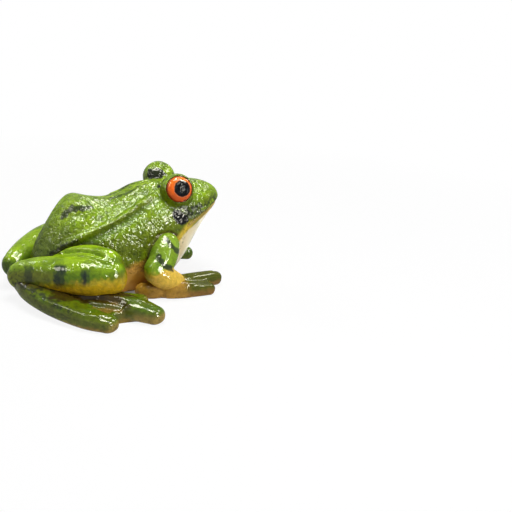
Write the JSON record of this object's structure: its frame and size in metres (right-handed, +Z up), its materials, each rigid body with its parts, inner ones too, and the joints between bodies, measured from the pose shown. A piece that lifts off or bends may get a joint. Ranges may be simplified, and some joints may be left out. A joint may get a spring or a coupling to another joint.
{
  "type": "frog figurine",
  "caption": "Glossy painted frog sitting with raised head, domed orange eyes, folded hind legs and splayed webbed toes.",
  "frame": {"origin": "on the flat underside of the belly, on the plane of symmetry, under the middle of the body", "axes": "+Z up from the surface the frog sits on, -Y the way it faces, +X its left side"},
  "size_m": [0.0964, 0.0863, 0.0463],
  "materials": {
    "green_skin": "gloss varnish",
    "cream_throat": "gloss varnish",
    "orange_iris": "gloss",
    "black_pupil": "gloss",
    "foreleg_green": "gloss varnish",
    "hand_olive": "gloss varnish",
    "leg_green": "gloss varnish",
    "foot_green": "gloss varnish"
  },
  "bodies": {
    "root": {"upper_body_shell": "green_skin", "lower_body_shell": "cream_throat", "left_iris": "orange_iris", "right_iris": "orange_iris", "left_pupil": "black_pupil", "right_pupil": "black_pupil", "left_foreleg": "foreleg_green", "right_foreleg": "foreleg_green", "left_hand": "hand_olive", "right_hand": "hand_olive", "left_hind_leg": "leg_green", "right_hind_leg": "leg_green", "left_hind_foot": "foot_green", "right_hind_foot": "foot_green"}
  },
  "joints": []
}
